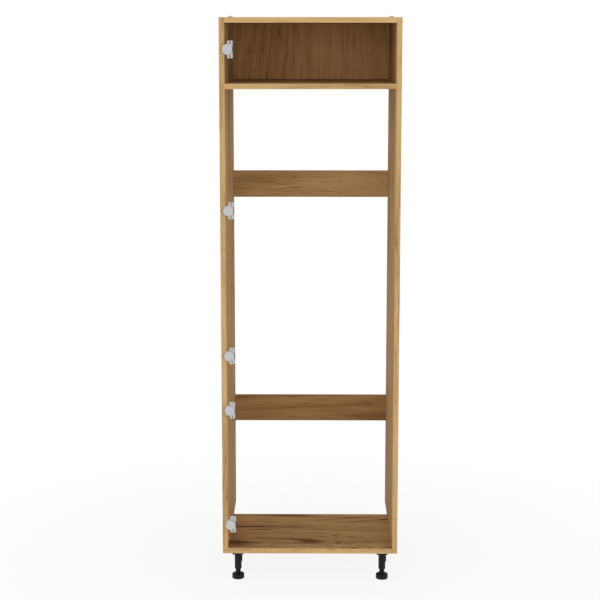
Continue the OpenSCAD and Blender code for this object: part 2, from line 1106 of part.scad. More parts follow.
module hinge_cup_1() {
    color(steel)
        at_hinge(1)
            hinge_cup();
}

module hinge_cup_2() {
    color(steel)
        at_hinge(2)
            hinge_cup();
}

module hinge_cup_3() {
    color(steel)
        at_hinge(3)
            hinge_cup();
}

module hinge_cup_4() {
    color(steel)
        at_hinge(4)
            hinge_cup();
}

module hinge_cup_5() {
    color(steel)
        at_hinge(5)
            hinge_cup();
}

// Wood screws that hold the mounting plates
module plate_screws() {
    color(zinc)
        for (n = [1 : 5])
            at_hinge(n)
                for (v = plate_screw_v)
                    translate([well_u, v, 0])
                        rotate([0, -90, 0])
                            difference() {
                                countersunk(plate_screw_r, plate_screw_l,
                                    plate_head_r);
                                cross_recess(3.6, 1.2);
                            }
}

// Fixing and adjusting screws through each arm into its plate
module arm_screws() {
    head_u = web_u + plate_pack;
    color(zinc)
        for (n = [1 : 5])
            at_hinge(n)
                for (v = arm_screw_v)
                    translate([head_u, v, 0])
                        rotate([0, 90, 0])
                            difference() {
                                union() {
                                    cylinder(r = arm_head_r,
                                        h = arm_head_h, $fn = 32);
                                    translate([0, 0, -arm_screw_l + 1])
                                        cylinder(r = arm_screw_r,
                                            h = arm_screw_l, $fn = 32);
                                }
                                translate([0, 0, arm_head_h])
                                    mirror([0, 0, 1])
                                        cross_recess(4.4, 1.1);
                            }
}

side_left();
side_right();
top_panel();
fixed_shelf();
bottom_panel();
back_panel();
rail_upper();
rail_lower();
edging_side_left();
edging_side_right();
edging_top();
edging_shelf();
edging_bottom();
carcass_screws_left();
carcass_screws_right();
carcass_screws_bottom();
dowels_left();
dowels_right();
dowels_bottom();
back_nails();
wall_bracket_left();
wall_bracket_right();
bracket_screws();
leg_sockets();
leg_tube_front_left();
leg_tube_front_right();
leg_tube_rear_left();
leg_tube_rear_right();
leg_foot_front_left();
leg_foot_front_right();
leg_foot_rear_left();
leg_foot_rear_right();
socket_screws();
hinge_plate_1();
hinge_plate_2();
hinge_plate_3();
hinge_plate_4();
hinge_plate_5();
hinge_arm_1();
hinge_arm_2();
hinge_arm_3();
hinge_arm_4();
hinge_arm_5();
hinge_outer_link_1();
hinge_outer_link_2();
hinge_outer_link_3();
hinge_outer_link_4();
hinge_outer_link_5();
hinge_inner_link_1();
hinge_inner_link_2();
hinge_inner_link_3();
hinge_inner_link_4();
hinge_inner_link_5();
hinge_cup_1();
hinge_cup_2();
hinge_cup_3();
hinge_cup_4();
hinge_cup_5();
plate_screws();
arm_screws();
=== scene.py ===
"""Looks of a tall housing for a built-in fridge.

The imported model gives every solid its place. This script dresses the boards
in oak decor, the hinges and screws in plated steel and the legs in black
plastic. It presses the hinge cups, builds the levelling feet and the ribs of
their sockets anew, and sets a pale studio with the camera in front of the
open side.
"""

import logging  # noqa: E402
import math  # noqa: E402
from dataclasses import dataclass  # noqa: E402
from enum import Enum  # noqa: E402
from typing import Optional, Sequence, Union  # noqa: E402

import bmesh  # noqa: E402
import bpy  # noqa: E402
from mathutils import Matrix, Vector  # noqa: E402


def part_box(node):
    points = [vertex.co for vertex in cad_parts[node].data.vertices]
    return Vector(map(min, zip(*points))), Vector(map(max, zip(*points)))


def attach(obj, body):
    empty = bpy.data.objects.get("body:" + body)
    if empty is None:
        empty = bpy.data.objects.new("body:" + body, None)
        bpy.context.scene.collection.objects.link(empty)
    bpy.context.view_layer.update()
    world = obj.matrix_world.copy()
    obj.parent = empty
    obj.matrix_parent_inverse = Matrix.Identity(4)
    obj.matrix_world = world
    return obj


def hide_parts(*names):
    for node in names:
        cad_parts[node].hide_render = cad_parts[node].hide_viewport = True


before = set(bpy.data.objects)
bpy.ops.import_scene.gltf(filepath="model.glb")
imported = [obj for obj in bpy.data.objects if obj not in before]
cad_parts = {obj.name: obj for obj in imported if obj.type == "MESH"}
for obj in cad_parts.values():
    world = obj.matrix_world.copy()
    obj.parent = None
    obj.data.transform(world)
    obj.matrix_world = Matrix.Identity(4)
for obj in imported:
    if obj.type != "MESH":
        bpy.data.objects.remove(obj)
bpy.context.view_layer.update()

logging.basicConfig(level=logging.INFO, format="%(message)s")
LOG = logging.getLogger("housing")

Colour = tuple[float, float, float]
Place = tuple[float, float, float]
Span = tuple[float, float]
Mesh = bpy.types.Mesh
Material = bpy.types.Material
Output = bpy.types.NodeSocket
Socket = Union[Output, float, Sequence[float]]

# The curve from display values to linear ones.
SRGB_KNEE = 0.04045
SRGB_SLOPE = 12.92
SRGB_OFFSET = 0.055
SRGB_POWER = 2.4

# Between these values lies most of any noise.
NOISE_BAND: Span = (0.3, 0.7)

# A shift of a pattern is this much larger across than along.
SHIFT_SKEW = 1.7

# Points nearer to each other than this are one point.
WELD = 1e-6


def linear(colour: Colour) -> tuple[float, float, float, float]:
    """Turns a display colour into the linear one that shaders take.

    Args:
        colour: Red, green and blue from 0 to 255, as a screen shows them.

    Returns:
        The same colour in linear values from 0 to 1, with full alpha.
    """
    parts = []
    for value in colour:
        share = value / 255
        if share <= SRGB_KNEE:
            parts.append(share / SRGB_SLOPE)
        else:
            parts.append(((share + SRGB_OFFSET) / (1 + SRGB_OFFSET)) ** SRGB_POWER)
    return (parts[0], parts[1], parts[2], 1.0)


def toned(colour: Colour, factors: Colour) -> Colour:
    """Multiplies each part of a display colour by its own factor.

    Args:
        colour: Red, green and blue from 0 to 255.
        factors: Factor of each part.

    Returns:
        The new colour, with no part over 255.
    """
    red, green, blue = (min(255, part * by) for part, by in zip(colour, factors))
    return (red, green, blue)


class Grain(Enum):
    """Direction of the wood grain: the axes along, across and through it."""

    UP_SIDE = ("Z", "Y", "X")
    UP_BACK = ("Z", "X", "Y")
    ACROSS_FRONT = ("X", "Z", "Y")
    ACROSS_FLAT = ("X", "Y", "Z")


class Limit(Enum):
    """Side of a plane: beyond it or before it on its axis."""

    ABOVE = "GREATER_THAN"
    BELOW = "LESS_THAN"


@dataclass(frozen=True)
class RawEdge:
    """Face of a board that shows its uncovered core."""

    axis: str
    place: float
    side: Limit
    skin: float = 0.0003

    def plane(self) -> float:
        """Gives where the core starts, just under the face.

        Returns:
            The place on the axis.
        """
        inward = -self.skin if self.side is Limit.ABOVE else self.skin
        return self.place + inward


class Sheet:
    """Shader tree under construction, with short ways to add nodes."""

    def __init__(self, tree: bpy.types.NodeTree) -> None:
        """Takes over a tree and empties it.

        Args:
            tree: Tree of a material or of the world.
        """
        self.tree = tree
        self.tree.nodes.clear()

    def add(self, kind: str, **settings: object) -> bpy.types.Node:
        """Adds a node and sets its properties.

        Args:
            kind: Type name of the node.
            settings: Properties of the node by name.

        Returns:
            The new node.
        """
        node = self.tree.nodes.new(kind)
        for key, value in settings.items():
            setattr(node, key, value)
        return node

    def feed(self, socket: Output, value: Socket) -> None:
        """Links a socket to another one, or sets it to a constant.

        Args:
            socket: Input socket.
            value: Output socket or constant.
        """
        if isinstance(value, Output):
            self.tree.links.new(value, socket)
        else:
            socket.default_value = value

    def result(self, kind: str, *values: Socket, **settings: object) -> Output:
        """Adds a node that is fed in the order of its inputs.

        Args:
            kind: Type name of the node.
            values: Sockets or constants for its inputs.
            settings: Properties of the node by name.

        Returns:
            Its first output.
        """
        node = self.add(kind, **settings)
        for socket, value in zip(node.inputs, values):
            self.feed(socket, value)
        return node.outputs[0]

    def math(self, operation: str, *values: Socket) -> Output:
        """Adds a Math node.

        Args:
            operation: Name of the operation.
            values: Sockets or numbers for its inputs.

        Returns:
            The result.
        """
        return self.result("ShaderNodeMath", *values, operation=operation)

    def range(
        self, value: Socket, low: float, high: float, start: float = 0, end: float = 1
    ) -> Output:
        """Maps a value from one range to another, held at both ends.

        Args:
            value: What is mapped.
            low: Value that gives start.
            high: Value that gives end.
            start: First result.
            end: Last result.

        Returns:
            The mapped value.
        """
        return self.result("ShaderNodeMapRange", value, low, high, start, end)


class Finish(Sheet):
    """Material under construction."""

    def __init__(self, name: str) -> None:
        """Starts a material with an output and a main shader.

        Args:
            name: Name of the material.
        """
        self.material = bpy.data.materials.new(name)
        self.material.use_nodes = True
        super().__init__(self.material.node_tree)
        self.output = self.add("ShaderNodeOutputMaterial")
        self.shader = self.add("ShaderNodeBsdfPrincipled")
        self.feed(self.output.inputs["Surface"], self.shader.outputs[0])
        self.place = self.add("ShaderNodeTexCoord").outputs["Object"]

    def scaled(self, vector: Output, factors: Place, shift: float = 0) -> Output:
        """Stretches a place by a factor on each axis, and then shifts it.

        Args:
            vector: The place.
            factors: Factor on each axis.
            shift: How far the pattern is shifted.

        Returns:
            The new place.
        """
        skewed = (shift, shift * SHIFT_SKEW, -shift)
        return self.result(
            "ShaderNodeVectorMath", vector, factors, skewed, operation="MULTIPLY_ADD"
        )

    def noise(self, vector: Output, detail: float = 2, rough: float = 0.5) -> Output:
        """Adds noise at the scale of its vector.

        Args:
            vector: Place, already scaled.
            detail: Number of finer layers.
            rough: Strength of the finer layers.

        Returns:
            The noise from 0 to 1.
        """
        node = self.add("ShaderNodeTexNoise")
        self.feed(node.inputs["Vector"], vector)
        node.inputs["Scale"].default_value = 1
        node.inputs["Detail"].default_value = detail
        node.inputs["Roughness"].default_value = rough
        return node.outputs["Fac"]

    def cloud(
        self, scale: float, shift: float = 0, detail: float = 2, rough: float = 0.5
    ) -> Output:
        """Adds noise that is the same in all directions.

        Args:
            scale: Waves to the metre.
            shift: How far the pattern is shifted.
            detail: Number of finer layers.
            rough: Strength of the finer layers.

        Returns:
            The noise from 0 to 1.
        """
        place = self.scaled(self.place, (scale, scale, scale), shift)
        return self.noise(place, detail, rough)

    def cells(self, vector: Output, scale: float = 1) -> tuple[Output, Output]:
        """Adds irregular cells.

        Args:
            vector: Place, already scaled.
            scale: Further scale of the cells.

        Returns:
            Distance from the middle of the cell, and its own random number.
        """
        node = self.add("ShaderNodeTexVoronoi")
        self.feed(node.inputs["Vector"], vector)
        node.inputs["Scale"].default_value = scale
        lot = self.result("ShaderNodeSeparateColor", node.outputs["Color"])
        return node.outputs["Distance"], lot

    def ramp(self, value: Socket, stops: Sequence[tuple[float, Colour]]) -> Output:
        """Colours a value by the given stops.

        Args:
            value: Value from 0 to 1.
            stops: Position and display colour of each stop.

        Returns:
            The colour.
        """
        node = self.add("ShaderNodeValToRGB")
        band = node.color_ramp
        while len(band.elements) < len(stops):
            band.elements.new(0.5)
        for element, (place, colour) in zip(band.elements, stops):
            element.position = place
            element.color = linear(colour)
        self.feed(node.inputs[0], value)
        return node.outputs[0]

    def mix(
        self, share: Socket, first: Socket, second: Socket, way: str = "MIX"
    ) -> Output:
        """Blends two colours.

        Args:
            share: Share of the blend, from 0 to 1.
            first: First colour.
            second: Second colour, or a grey value.
            way: How the second colour acts on the first one.

        Returns:
            The blended colour.
        """
        node = self.add("ShaderNodeMix", data_type="RGBA", blend_type=way)
        for number, value in ((0, share), (6, first), (7, second)):
            self.feed(node.inputs[number], value)
        return node.outputs[2]

    def relief(self, height: Socket, depth: float, rounding: float = 0) -> None:
        """Gives the surface a bump and, where asked, softly rounded edges.

        Args:
            height: Height from 0 to 1.
            depth: Depth of the relief in metres.
            rounding: Radius of the rounded edges in metres.
        """
        bump = self.add("ShaderNodeBump")
        bump.inputs["Strength"].default_value = 1
        bump.inputs["Distance"].default_value = depth
        self.feed(bump.inputs["Height"], height)
        if rounding:
            soft = self.add("ShaderNodeBevel", samples=4)
            soft.inputs["Radius"].default_value = rounding
            self.feed(bump.inputs["Normal"], soft.outputs[0])
        self.feed(self.shader.inputs["Normal"], bump.outputs[0])

    def finish(self, **values: Socket) -> Material:
        """Sets the main shader's sockets and gives the material.

        Args:
            values: Sockets by their name in lower case with underscores.

        Returns:
            The finished material.
        """
        names = {s.name.lower().replace(" ", "_"): s for s in self.shader.inputs}
        for key, value in values.items():
            self.feed(names[key], value)
        return self.material


@dataclass(frozen=True)
class Layer:
    """Noise in wood, with its scale along, across and through the grain."""

    scale: Place
    shift: float = 0
    detail: float = 2
    rough: float = 0.5

    def draw(self, sheet: Finish, wood: Output, seed: float) -> Output:
        """Adds the layer to a material.

        Args:
            sheet: Material under construction.
            wood: Place in the grain.
            seed: Start of the pattern, which differs from board to board.

        Returns:
            The noise from 0 to 1.
        """
        place = sheet.scaled(wood, self.scale, seed + self.shift)
        return sheet.noise(place, self.detail, self.rough)


# Layers of the oak decor, the coarse ones first.
SWAY = Layer((1.3, 2.5, 0.5))
ARCHES = Layer((0.9, 5, 1), 3, 1, 0.4)
BROAD = Layer((1.5, 8, 3), 11)
FADING = Layer((1.6, 12, 2), 19)
STREAKS = Layer((2.6, 52, 16), 7, 4, 0.62)
FLECKS = Layer((11, 150, 60), 23, 3, 0.6)
FIBRES = Layer((20, 420, 180), 13, 3, 0.65)
PORES = Layer((60, 1500, 900), 17, 1)

# Between which values of its noise each mark fades in.
SWAY_BAND: Span = (0.25, 0.75)
FADING_BAND: Span = (0.4, 0.62)
FLECK_BAND: Span = (0.42, 0.3)
PORE_BAND: Span = (0.6, 0.7)

# How much each layer counts in the tone, and the middle and half of its range.
STREAK_SHARE = 0.4
BROAD_SHARE = 0.32
FIBRE_SHARE = 0.28
KNOT_SHARE = 0.3
TONE_MIDDLE = 0.47
TONE_HALF = 0.22

# Factors on the decor's main colour, from its dark lines to its pale ones.
TONE_STOPS = (
    (0.0, (0.56, 0.48, 0.4)),
    (0.2, (0.82, 0.77, 0.7)),
    (0.5, (1, 1, 1)),
    (0.85, (1.09, 1.11, 1.14)),
)

# Reach of the sway in metres, and how far arches and knots push the lines.
SWAY_REACH = 0.025
ARCH_PUSH = 9
KNOT_PUSH = 3
LINE_SHARPNESS = 2.5

# One cell in a few holds a knot, with a dark core and a wider reach.
KNOT_SHIFT = 5
KNOT_LIMIT = 0.72
KNOT_REACH = 0.5
KNOT_CORE: Span = (0.015, 0.075)

# Pores are darker and deeper than the wood round them.
PORE_SHADE = 0.8
PORE_DEPTH = 0.8

# Pressed chips of the raw core.
CHIP_SHAPE: Place = (1, 1, 1.6)
CHIP_STOPS = ((0, (120, 92, 60)), (0.3, (176, 146, 104)), (1, (214, 190, 150)))
CHIP_ROUGHNESS = 0.9


@dataclass(frozen=True)
class OakDecor:
    """Printed oak decor on a board, with growth lines, streaks and knots."""

    name: str
    grain: Grain
    tone: Colour
    seed: float
    contrast: float = 1.0
    rings: float = 0.1
    flecks: float = 0.12
    lines: float = 22
    knot_cells: Place = (2.6, 11, 1)
    raw: tuple[RawEdge, ...] = ()
    chips: float = 420
    roughness: Span = (0.6, 0.74)
    gloss: float = 0.03
    depth: float = 0.00006
    rounding: float = 0.0005

    def build(self) -> Material:
        """Builds the decor with its raw edges, where it has any.

        Returns:
            The material.
        """
        sheet = Finish(self.name)
        parts = sheet.add("ShaderNodeSeparateXYZ")
        sheet.feed(parts.inputs[0], sheet.place)
        wood = self.wood_place(sheet, parts)
        knot, heart = self.knots(sheet, wood)
        growth = self.growth(sheet, wood, knot)
        streak = STREAKS.draw(sheet, wood, self.seed)
        broad = BROAD.draw(sheet, wood, self.seed)
        fibre = FIBRES.draw(sheet, wood, self.seed)
        fleck = sheet.range(FLECKS.draw(sheet, wood, self.seed), *FLECK_BAND)
        pore = sheet.range(PORES.draw(sheet, wood, self.seed), *PORE_BAND)
        tone = sheet.math("MULTIPLY", streak, STREAK_SHARE)
        for layer, share in (
            (broad, BROAD_SHARE),
            (fibre, FIBRE_SHARE),
            (fleck, -self.flecks),
            (growth, -self.rings),
            (heart, -KNOT_SHARE),
        ):
            tone = sheet.math("MULTIPLY_ADD", layer, share, tone)
        half = TONE_HALF / self.contrast
        tone = sheet.range(tone, TONE_MIDDLE - half, TONE_MIDDLE + half)
        stops = [(place, toned(self.tone, factors)) for place, factors in TONE_STOPS]
        colour = sheet.ramp(tone, stops)
        shade = sheet.range(pore, 0, 1, 1, PORE_SHADE)
        colour = sheet.mix(1, colour, shade, "MULTIPLY")
        rough = sheet.range(fibre, *NOISE_BAND, *self.roughness)
        if self.raw:
            mask = self.raw_mask(sheet, parts)
            colour = sheet.mix(mask, colour, self.core(sheet))
            raw_rough = sheet.math("MULTIPLY", mask, CHIP_ROUGHNESS)
            rough = sheet.math("MAXIMUM", rough, raw_rough)
        dent = sheet.math("MULTIPLY", pore, PORE_DEPTH)
        sheet.relief(sheet.math("SUBTRACT", fibre, dent), self.depth, self.rounding)
        return sheet.finish(
            base_color=colour, roughness=rough, specular_ior_level=self.gloss
        )

    def wood_place(self, sheet: Finish, parts: bpy.types.Node) -> Output:
        """Turns the place on the object into one in the swaying grain.

        Args:
            sheet: Material under construction.
            parts: Node with the three parts of the place.

        Returns:
            The place along, across and through the grain.
        """
        order = (parts.outputs[axis] for axis in self.grain.value)
        lined = sheet.result("ShaderNodeCombineXYZ", *order)
        sway = SWAY.draw(sheet, lined, self.seed)
        aside = sheet.range(sway, *SWAY_BAND, -SWAY_REACH, SWAY_REACH)
        bend = sheet.result("ShaderNodeCombineXYZ", 0, aside)
        return sheet.result("ShaderNodeVectorMath", lined, bend, operation="ADD")

    def knots(self, sheet: Finish, wood: Output) -> tuple[Output, Output]:
        """Scatters a few knots.

        Args:
            sheet: Material under construction.
            wood: Place in the grain.

        Returns:
            How near the surface is to a knot, and the mask of its dark core.
        """
        place = sheet.scaled(wood, self.knot_cells, self.seed + KNOT_SHIFT)
        distance, lot = sheet.cells(place)
        chosen = sheet.math("GREATER_THAN", lot, KNOT_LIMIT)
        near = sheet.range(distance, 0, KNOT_REACH, 1, 0)
        near = sheet.math("MULTIPLY", sheet.math("MULTIPLY", near, near), chosen)
        spot = sheet.range(distance, *KNOT_CORE, 1, 0)
        return near, sheet.math("MULTIPLY", spot, chosen)

    def growth(self, sheet: Finish, wood: Output, knot: Output) -> Output:
        """Draws the growth lines, which close into eyes round the knots.

        Args:
            sheet: Material under construction.
            wood: Place in the grain.
            knot: How near the surface is to a knot.

        Returns:
            Strength of the lines from 0 to 1.
        """
        split = sheet.add("ShaderNodeSeparateXYZ")
        sheet.feed(split.inputs[0], wood)
        arch = ARCHES.draw(sheet, wood, self.seed)
        phase = sheet.math("MULTIPLY", split.outputs[1], self.lines)
        phase = sheet.math("MULTIPLY_ADD", arch, ARCH_PUSH, phase)
        phase = sheet.math("MULTIPLY_ADD", knot, KNOT_PUSH, phase)
        wave = sheet.math("SINE", sheet.math("MULTIPLY", phase, math.tau))
        line = sheet.math("POWER", sheet.range(wave, -1, 1), LINE_SHARPNESS)
        fade = sheet.range(FADING.draw(sheet, wood, self.seed), *FADING_BAND)
        return sheet.math("MULTIPLY", line, fade)

    def raw_mask(self, sheet: Finish, parts: bpy.types.Node) -> Socket:
        """Marks where the surface lies on a raw face.

        Args:
            sheet: Material under construction.
            parts: Node with the three parts of the place.

        Returns:
            1 on the raw core and 0 on the decor.
        """
        mask: Socket = 0.0
        for edge in self.raw:
            where = parts.outputs[edge.axis]
            beyond = sheet.math(edge.side.value, where, edge.plane())
            mask = sheet.math("MAXIMUM", mask, beyond)
        return mask

    def core(self, sheet: Finish) -> Output:
        """Draws pressed chips.

        Args:
            sheet: Material under construction.

        Returns:
            The colour of the chips.
        """
        lot = sheet.cells(sheet.scaled(sheet.place, CHIP_SHAPE), self.chips)[1]
        return sheet.ramp(lot, CHIP_STOPS)


@dataclass(frozen=True)
class Metal:
    """Plated steel with fine marks from tumbling and light handling."""

    name: str
    colour: Colour
    roughness: float
    rounding: float = 0.0002
    marks: float = 2600
    clouds: float = 160
    uneven: Span = (-0.05, 0.07)
    dimmed: float = 0.94
    depth: float = 0.000012

    def build(self) -> Material:
        """Builds the metal with its slightly uneven sheen.

        Returns:
            The material.
        """
        sheet = Finish(self.name)
        marks = sheet.cloud(self.marks, 0, 2, 0.6)
        cloud = sheet.cloud(self.clouds, 4)
        low, high = (self.roughness + step for step in self.uneven)
        rough = sheet.range(cloud, *NOISE_BAND, low, high)
        dim = toned(self.colour, (self.dimmed, self.dimmed, self.dimmed))
        colour = sheet.ramp(cloud, [(0.3, dim), (0.65, self.colour)])
        sheet.relief(marks, self.depth, self.rounding)
        return sheet.finish(base_color=colour, roughness=rough, metallic=1.0)


@dataclass(frozen=True)
class Plastic:
    """Moulded plastic with a fine spark-eroded grain."""

    name: str
    colour: Colour
    wear: float = 8
    grain: float = 1900
    clouds: float = 70
    roughness: Span = (0.38, 0.5)
    gloss: float = 0.22
    depth: float = 0.00003
    rounding: float = 0.0004

    def build(self) -> Material:
        """Builds the plastic with dust-grey wear in its grain.

        Returns:
            The material.
        """
        sheet = Finish(self.name)
        grain = sheet.cloud(self.grain, 0, 3, 0.6)
        cloud = sheet.cloud(self.clouds, 2)
        red, green, blue = (part + self.wear for part in self.colour)
        colour = sheet.ramp(cloud, [(0.35, self.colour), (0.75, (red, green, blue))])
        rough = sheet.range(grain, *NOISE_BAND, *self.roughness)
        sheet.relief(grain, self.depth, self.rounding)
        return sheet.finish(
            base_color=colour, roughness=rough, specular_ior_level=self.gloss
        )


@dataclass(frozen=True)
class Paint:
    """Satin paint with a faint orange-peel surface on small metal parts."""

    name: str
    colour: Colour
    peel: float = 700
    clouds: float = 90
    dimmed: float = 0.88
    roughness: float = 0.42
    depth: float = 0.00003
    rounding: float = 0.0003

    def build(self) -> Material:
        """Builds the paint, a little lighter in soft patches.

        Returns:
            The material.
        """
        sheet = Finish(self.name)
        peel = sheet.cloud(self.peel, 0, 1)
        cloud = sheet.cloud(self.clouds, 5, 3)
        dim = toned(self.colour, (self.dimmed, self.dimmed, self.dimmed))
        colour = sheet.ramp(cloud, [(0.3, dim), (0.7, self.colour)])
        sheet.relief(peel, self.depth, self.rounding)
        return sheet.finish(base_color=colour, roughness=self.roughness)


@dataclass(frozen=True)
class Beech:
    """Raw beech of dowels: pale, with short darker flecks along it."""

    name: str
    flecks: Place = (90, 900, 900)
    roughness: float = 0.7
    depth: float = 0.00005

    def build(self) -> Material:
        """Builds the beech.

        Returns:
            The material.
        """
        sheet = Finish(self.name)
        flecks = sheet.noise(sheet.scaled(sheet.place, self.flecks), 2, 0.6)
        stops = [(0.3, (176, 132, 88)), (0.55, (214, 176, 128)), (0.8, (226, 192, 148))]
        sheet.relief(flecks, self.depth)
        return sheet.finish(
            base_color=sheet.ramp(flecks, stops), roughness=self.roughness
        )


def new_object(name: str, data: bpy.types.ID) -> bpy.types.Object:
    """Makes an object and links it to the scene.

    Args:
        name: Name of the object.
        data: Its mesh, camera or lamp.

    Returns:
        The object.
    """
    made = bpy.data.objects.new(name, data)
    bpy.context.scene.collection.objects.link(made)
    return made


def new_mesh(
    name: str, shape: bmesh.types.BMesh, materials: Sequence[Material]
) -> Mesh:
    """Turns an edited shape into a mesh and frees the shape.

    Args:
        name: Name of the mesh.
        shape: The edited shape.
        materials: Materials of the mesh, in the order of its slots.

    Returns:
        The mesh.
    """
    made = bpy.data.meshes.new(name)
    shape.to_mesh(made)
    shape.free()
    for material in materials:
        made.materials.append(material)
    return made


class GeometryTree:
    """Geometry Nodes tree with named inputs, made in code."""

    def __init__(self, name: str, inputs: dict[str, float]) -> None:
        """Makes the tree and its interface.

        Args:
            name: Name of the tree.
            inputs: Default value of each named input; whole numbers are counts.
        """
        self.tree = bpy.data.node_groups.new(name, "GeometryNodeTree")
        face = self.tree.interface
        face.new_socket("Geometry", in_out="OUTPUT", socket_type="NodeSocketGeometry")
        self.sockets: dict[str, str] = {}
        for key, value in inputs.items():
            whole = isinstance(value, int)
            kind = "NodeSocketInt" if whole else "NodeSocketFloat"
            item = face.new_socket(key, in_out="INPUT", socket_type=kind)
            item.default_value = value
            self.sockets[key] = item.identifier
        self.start = self.tree.nodes.new("NodeGroupInput")
        self.end = self.tree.nodes.new("NodeGroupOutput")

    def add(self, kind: str, links: dict[Union[str, int], object]) -> bpy.types.Node:
        """Adds a node and its inputs.

        Args:
            kind: Type name of the node.
            links: Input name or number to a socket, an input's name or a value.

        Returns:
            The new node.
        """
        node = self.tree.nodes.new(kind)
        for key, value in links.items():
            socket = node.inputs[key]
            if isinstance(value, str):
                value = self.start.outputs[value]
            if isinstance(value, Output):
                self.tree.links.new(value, socket)
            else:
                socket.default_value = value
        return node

    def close(self, geometry: Output, material: Material) -> None:
        """Ends the tree with real geometry.

        Args:
            geometry: What the tree has made.
            material: Its material.
        """
        real = self.add("GeometryNodeRealizeInstances", {0: geometry})
        dressed = self.add("GeometryNodeSetMaterial", {0: real.outputs[0]})
        dressed.inputs["Material"].default_value = material
        self.tree.links.new(dressed.outputs[0], self.end.inputs[0])

    def mesh(
        self, name: str, move: Vector, values: Optional[dict[str, float]] = None
    ) -> Mesh:
        """Evaluates the tree once and gives a plain mesh at its place.

        Args:
            name: Name of the mesh.
            move: Where the origin of the tree goes.
            values: Value of each named input that differs from its default.

        Returns:
            The mesh, with its place in its vertices.
        """
        carrier = new_object(name + "_maker", bpy.data.meshes.new(name))
        modifier = carrier.modifiers.new("nodes", "NODES")
        modifier.node_group = self.tree
        for key, value in (values or {}).items():
            modifier[self.sockets[key]] = value
        bpy.context.view_layer.update()
        shown = carrier.evaluated_get(bpy.context.evaluated_depsgraph_get())
        made = bpy.data.meshes.new_from_object(shown)
        bpy.data.objects.remove(carrier)
        made.transform(Matrix.Translation(move))
        return made


def join_meshes(name: str, parts: Sequence[Mesh]) -> bpy.types.Object:
    """Joins meshes into one object that sits at the origin.

    Args:
        name: Name of the new object.
        parts: Meshes in the row frame, each with its materials.

    Returns:
        The object, linked to the scene.
    """
    whole = bmesh.new()
    materials: list[Material] = []
    for part in parts:
        slots = []
        for material in part.materials:
            if material not in materials:
                materials.append(material)
            slots.append(materials.index(material))
        first = len(whole.faces)
        whole.from_mesh(part)
        whole.faces.ensure_lookup_table()
        for face in whole.faces[first:]:
            face.material_index = slots[face.material_index]
    return new_object(name, new_mesh(name, whole, materials))


def turned(
    name: str, profile: Sequence[Span], steps: int, material: Material
) -> Mesh:
    """Turns a profile round the vertical axis into a closed mesh.

    Args:
        name: Name of the mesh.
        profile: Radius and height of each point, bottom middle first.
        steps: Number of steps round the axis.
        material: Finish of the mesh.

    Returns:
        The mesh round the origin.
    """
    crease = math.radians(40)
    shape = bmesh.new()
    rings: list[list[bmesh.types.BMVert]] = []
    for radius, height in profile:
        if radius < WELD:
            rings.append([shape.verts.new((0, 0, height))])
            continue
        ring = []
        for k in range(steps):
            angle = math.tau * k / steps
            place = (radius * math.cos(angle), radius * math.sin(angle), height)
            ring.append(shape.verts.new(place))
        rings.append(ring)
    for low, high in zip(rings, rings[1:]):
        for k in range(steps):
            n = (k + 1) % steps
            ends = ((low, k), (low, n), (high, n), (high, k))
            corners = list(dict.fromkeys(ring[i % len(ring)] for ring, i in ends))
            if len(corners) > 2:
                shape.faces.new(corners)
    bmesh.ops.recalc_face_normals(shape, faces=shape.faces)
    for face in shape.faces:
        face.smooth = True
    made = new_mesh(name, shape, [material])
    made.set_sharp_from_angle(angle=crease)
    return made


def paint_node(node: str, material: Material) -> None:
    """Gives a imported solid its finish.

    Args:
        node: Name of the solid.
        material: Its finish.
    """
    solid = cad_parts[node]
    solid.data.materials.clear()
    solid.data.materials.append(material)
    LOG.info("dressed %s in %s", node, material.name)


